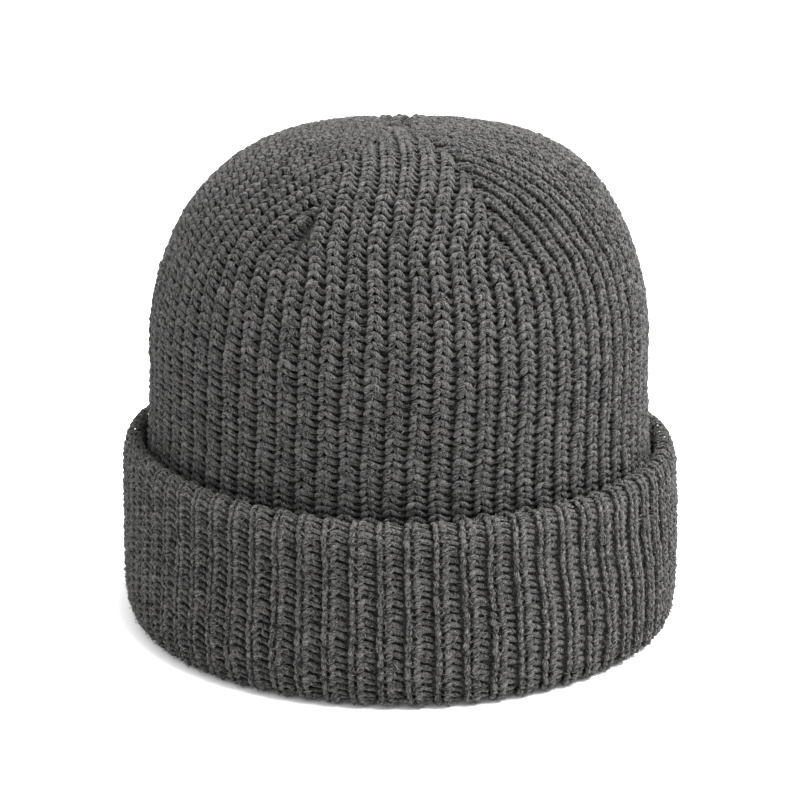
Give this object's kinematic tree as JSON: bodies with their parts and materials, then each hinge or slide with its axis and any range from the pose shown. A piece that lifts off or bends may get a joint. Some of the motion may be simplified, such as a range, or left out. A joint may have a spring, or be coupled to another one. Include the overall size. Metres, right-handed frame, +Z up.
{
  "type": "cuffed beanie",
  "caption": "Chunky rib-knit beanie with a domed crown drawn in by darts and a wide turned-up cuff with a rounded rim, worn on the head for warmth.",
  "frame": {"origin": "middle of the hat's mouth, on the surface that the cuff rests on", "axes": "+Z up through the crown, -Y the front, +X the wearer's left"},
  "size_m": [0.1892, 0.2044, 0.1644],
  "materials": {
    "crown_knit": "matte",
    "cuff_knit": "matte"
  },
  "bodies": {
    "root": {"crown": "crown_knit", "cuff": "cuff_knit"}
  },
  "joints": []
}
